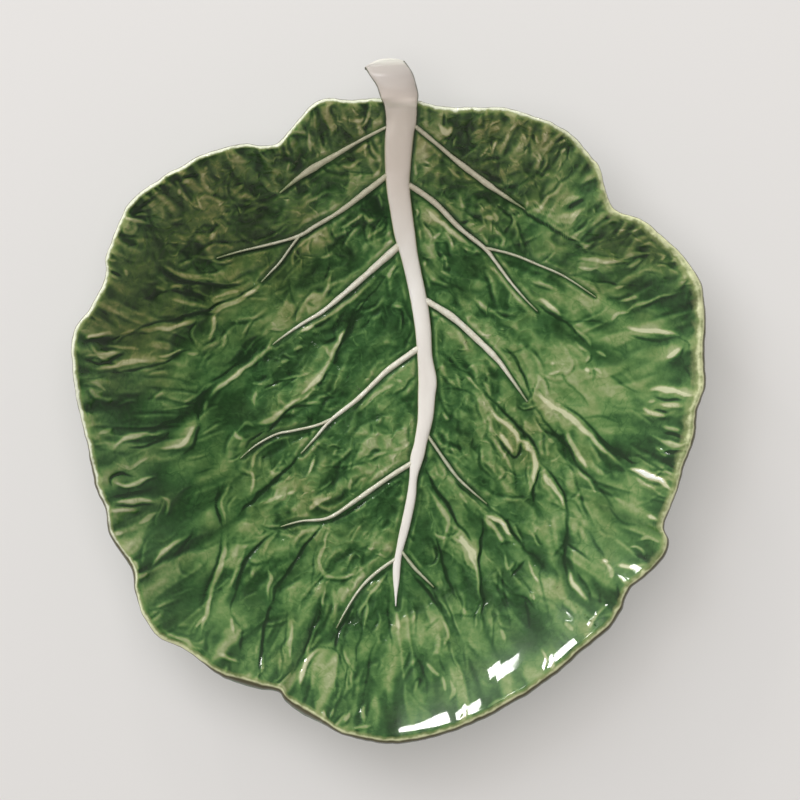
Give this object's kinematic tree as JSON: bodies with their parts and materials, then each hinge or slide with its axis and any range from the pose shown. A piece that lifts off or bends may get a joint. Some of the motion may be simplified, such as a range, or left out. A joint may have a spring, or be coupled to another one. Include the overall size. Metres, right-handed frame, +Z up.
{
  "type": "leaf shaped plate",
  "caption": "Dished serving plate shaped as a lobed cabbage leaf, with a raised pale midrib running out as a curled stem, pale side veins and a round foot ring.",
  "frame": {"origin": "under the middle of the plate's length and width, on the surface that it stands on", "axes": "+X across the leaf, +Y along the midrib towards the stem, +Z up out of the dish"},
  "size_m": [0.3237, 0.3498, 0.0554],
  "materials": {
    "leaf_glaze": "translucent green glaze, dark where it pools and pale on the ridges, glossy",
    "foot_glaze": "green glaze with a wiped, unglazed cream standing face",
    "rib_glaze": "warm white glaze, glossy",
    "vein_glaze": "warm white glaze, glossy"
  },
  "bodies": {
    "root": {"leaf_dish": "leaf_glaze", "foot_ring": "foot_glaze", "midrib_stem": "rib_glaze", "vein_left_1": "vein_glaze", "vein_left_2": "vein_glaze", "vein_left_3": "vein_glaze", "vein_left_4": "vein_glaze", "vein_left_5": "vein_glaze", "vein_left_6": "vein_glaze", "vein_right_1": "vein_glaze", "vein_right_2": "vein_glaze", "vein_right_3": "vein_glaze", "vein_right_4": "vein_glaze", "vein_right_5": "vein_glaze", "twig_left_2": "vein_glaze", "twig_left_4": "vein_glaze", "twig_right_2": "vein_glaze"}
  },
  "joints": []
}
